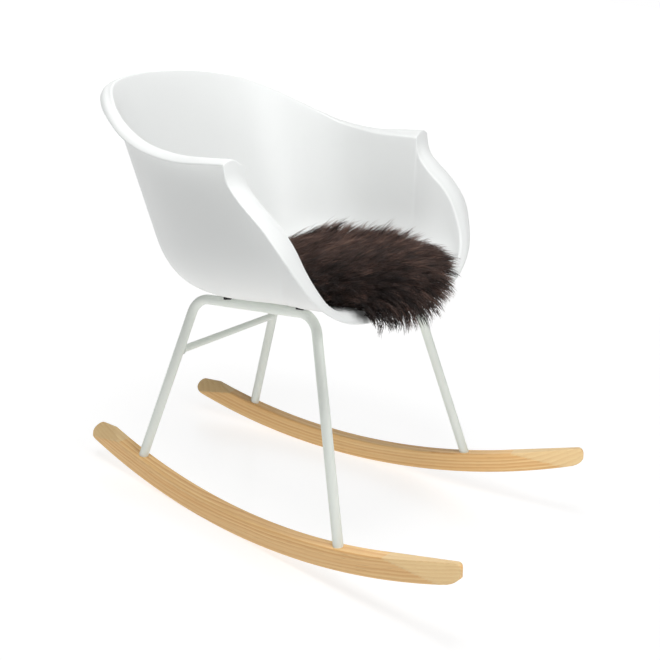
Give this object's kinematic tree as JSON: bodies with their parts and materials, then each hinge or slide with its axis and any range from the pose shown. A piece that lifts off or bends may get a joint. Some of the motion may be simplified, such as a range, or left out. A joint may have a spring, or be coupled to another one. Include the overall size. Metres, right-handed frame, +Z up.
{
  "type": "rocking chair",
  "caption": "Rocking armchair: a white moulded bucket shell with an out-turned rim on a bent steel tube frame, with curved ash rockers and a loose sheepskin.",
  "frame": {"origin": "on the floor, in the middle of the box round the resting empty chair", "axes": "+Z up; -Y is the way the sitter faces; +X is the sitter's left"},
  "size_m": [0.6167, 0.7776, 0.6533],
  "materials": {
    "shell_plastic": "fine satin moulded polypropylene, white",
    "frame_paint": "smooth satin powder coat, very pale grey-green white",
    "rocker_ash": "light ash, satin clear lacquer, open straight and cathedral grain",
    "pad_rubber": "matt black",
    "zinc_steel": "bright zinc plating",
    "insert_brass": "plain turned brass",
    "sheepskin": "long dark brown sheepskin pile"
  },
  "bodies": {
    "root": {"seat_shell": "shell_plastic", "rear_crossbar": "frame_paint", "front_cross_strap": "frame_paint", "rear_cross_strap": "frame_paint", "sheepskin_pad": "sheepskin", "side_frame_right": "frame_paint", "rocker_right": "rocker_ash", "leg_plug_front_right": "zinc_steel", "leg_bolt_front_right": "zinc_steel", "spacer_pad_front_right": "pad_rubber", "seat_screw_front_right": "zinc_steel", "seat_washer_front_right": "zinc_steel", "boss_insert_front_right": "insert_brass", "leg_plug_rear_right": "zinc_steel", "leg_bolt_rear_right": "zinc_steel", "spacer_pad_rear_right": "pad_rubber", "seat_screw_rear_right": "zinc_steel", "seat_washer_rear_right": "zinc_steel", "boss_insert_rear_right": "insert_brass", "side_frame_left": "frame_paint", "rocker_left": "rocker_ash", "leg_plug_front_left": "zinc_steel", "leg_bolt_front_left": "zinc_steel", "spacer_pad_front_left": "pad_rubber", "seat_screw_front_left": "zinc_steel", "seat_washer_front_left": "zinc_steel", "boss_insert_front_left": "insert_brass", "leg_plug_rear_left": "zinc_steel", "leg_bolt_rear_left": "zinc_steel", "spacer_pad_rear_left": "pad_rubber", "seat_screw_rear_left": "zinc_steel", "seat_washer_rear_left": "zinc_steel", "boss_insert_rear_left": "insert_brass"}
  },
  "joints": []
}
